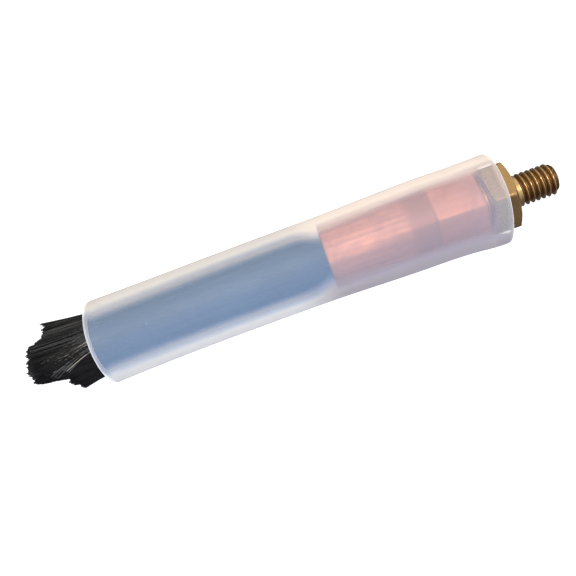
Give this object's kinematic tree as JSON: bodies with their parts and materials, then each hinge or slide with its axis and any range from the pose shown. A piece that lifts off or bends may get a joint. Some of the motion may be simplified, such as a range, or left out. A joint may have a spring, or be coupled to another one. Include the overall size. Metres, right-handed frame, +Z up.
{
  "type": "contact cleaning brush tip",
  "caption": "Screw-on cleaning brush tip: black conductive fibre bundle crimped in a copper ferrule, brass hexagon with threaded stud, sliding translucent silicone sleeve.",
  "frame": {"origin": "middle of the tip's length and width, on the plane it lies on", "axes": "+X along the brush axis towards the threaded stud, +Z up, +Y to the left when looking along +X"},
  "size_m": [0.104, 0.017, 0.0169],
  "materials": {
    "brass": "turned brass, lightly tarnished",
    "copper": "crimped bare copper tube with die marks",
    "silicone": "milky translucent silicone, satin",
    "fibre": "fine black fibres with a dull sheen"
  },
  "bodies": {
    "brush": {"stud_fitting": "brass", "ferrule": "copper", "fibre_tow_01": "fibre", "fibre_tow_02": "fibre", "fibre_tow_03": "fibre", "fibre_tow_04": "fibre", "fibre_tow_05": "fibre", "fibre_tow_06": "fibre", "fibre_tow_07": "fibre", "fibre_tow_08": "fibre", "fibre_tow_09": "fibre", "fibre_tow_10": "fibre", "fibre_tow_11": "fibre", "fibre_tow_12": "fibre", "fibre_tow_13": "fibre", "fibre_tow_14": "fibre", "fibre_tow_15": "fibre", "fibre_tow_16": "fibre", "fibre_tow_17": "fibre", "fibre_tow_18": "fibre", "fibre_tow_19": "fibre", "fibre_tow_20": "fibre", "fibre_tow_21": "fibre", "fibre_tow_22": "fibre", "fibre_tow_23": "fibre", "fibre_tow_24": "fibre", "fibre_tow_25": "fibre", "fibre_tow_26": "fibre", "fibre_tow_27": "fibre", "fibre_tow_28": "fibre", "fibre_tow_29": "fibre", "fibre_tow_30": "fibre", "fibre_tow_31": "fibre", "fibre_tow_32": "fibre", "fibre_tow_33": "fibre", "fibre_tow_34": "fibre", "fibre_tow_35": "fibre", "fibre_tow_36": "fibre", "fibre_tow_37": "fibre"},
    "sleeve": {"sleeve": "silicone"}
  },
  "joints": [
    {"name": "sleeve_slide", "type": "slide", "parent": "brush", "child": "sleeve", "axis": [1, 0, 0], "range_m": [-0.0155, 0.0023]}
  ]
}
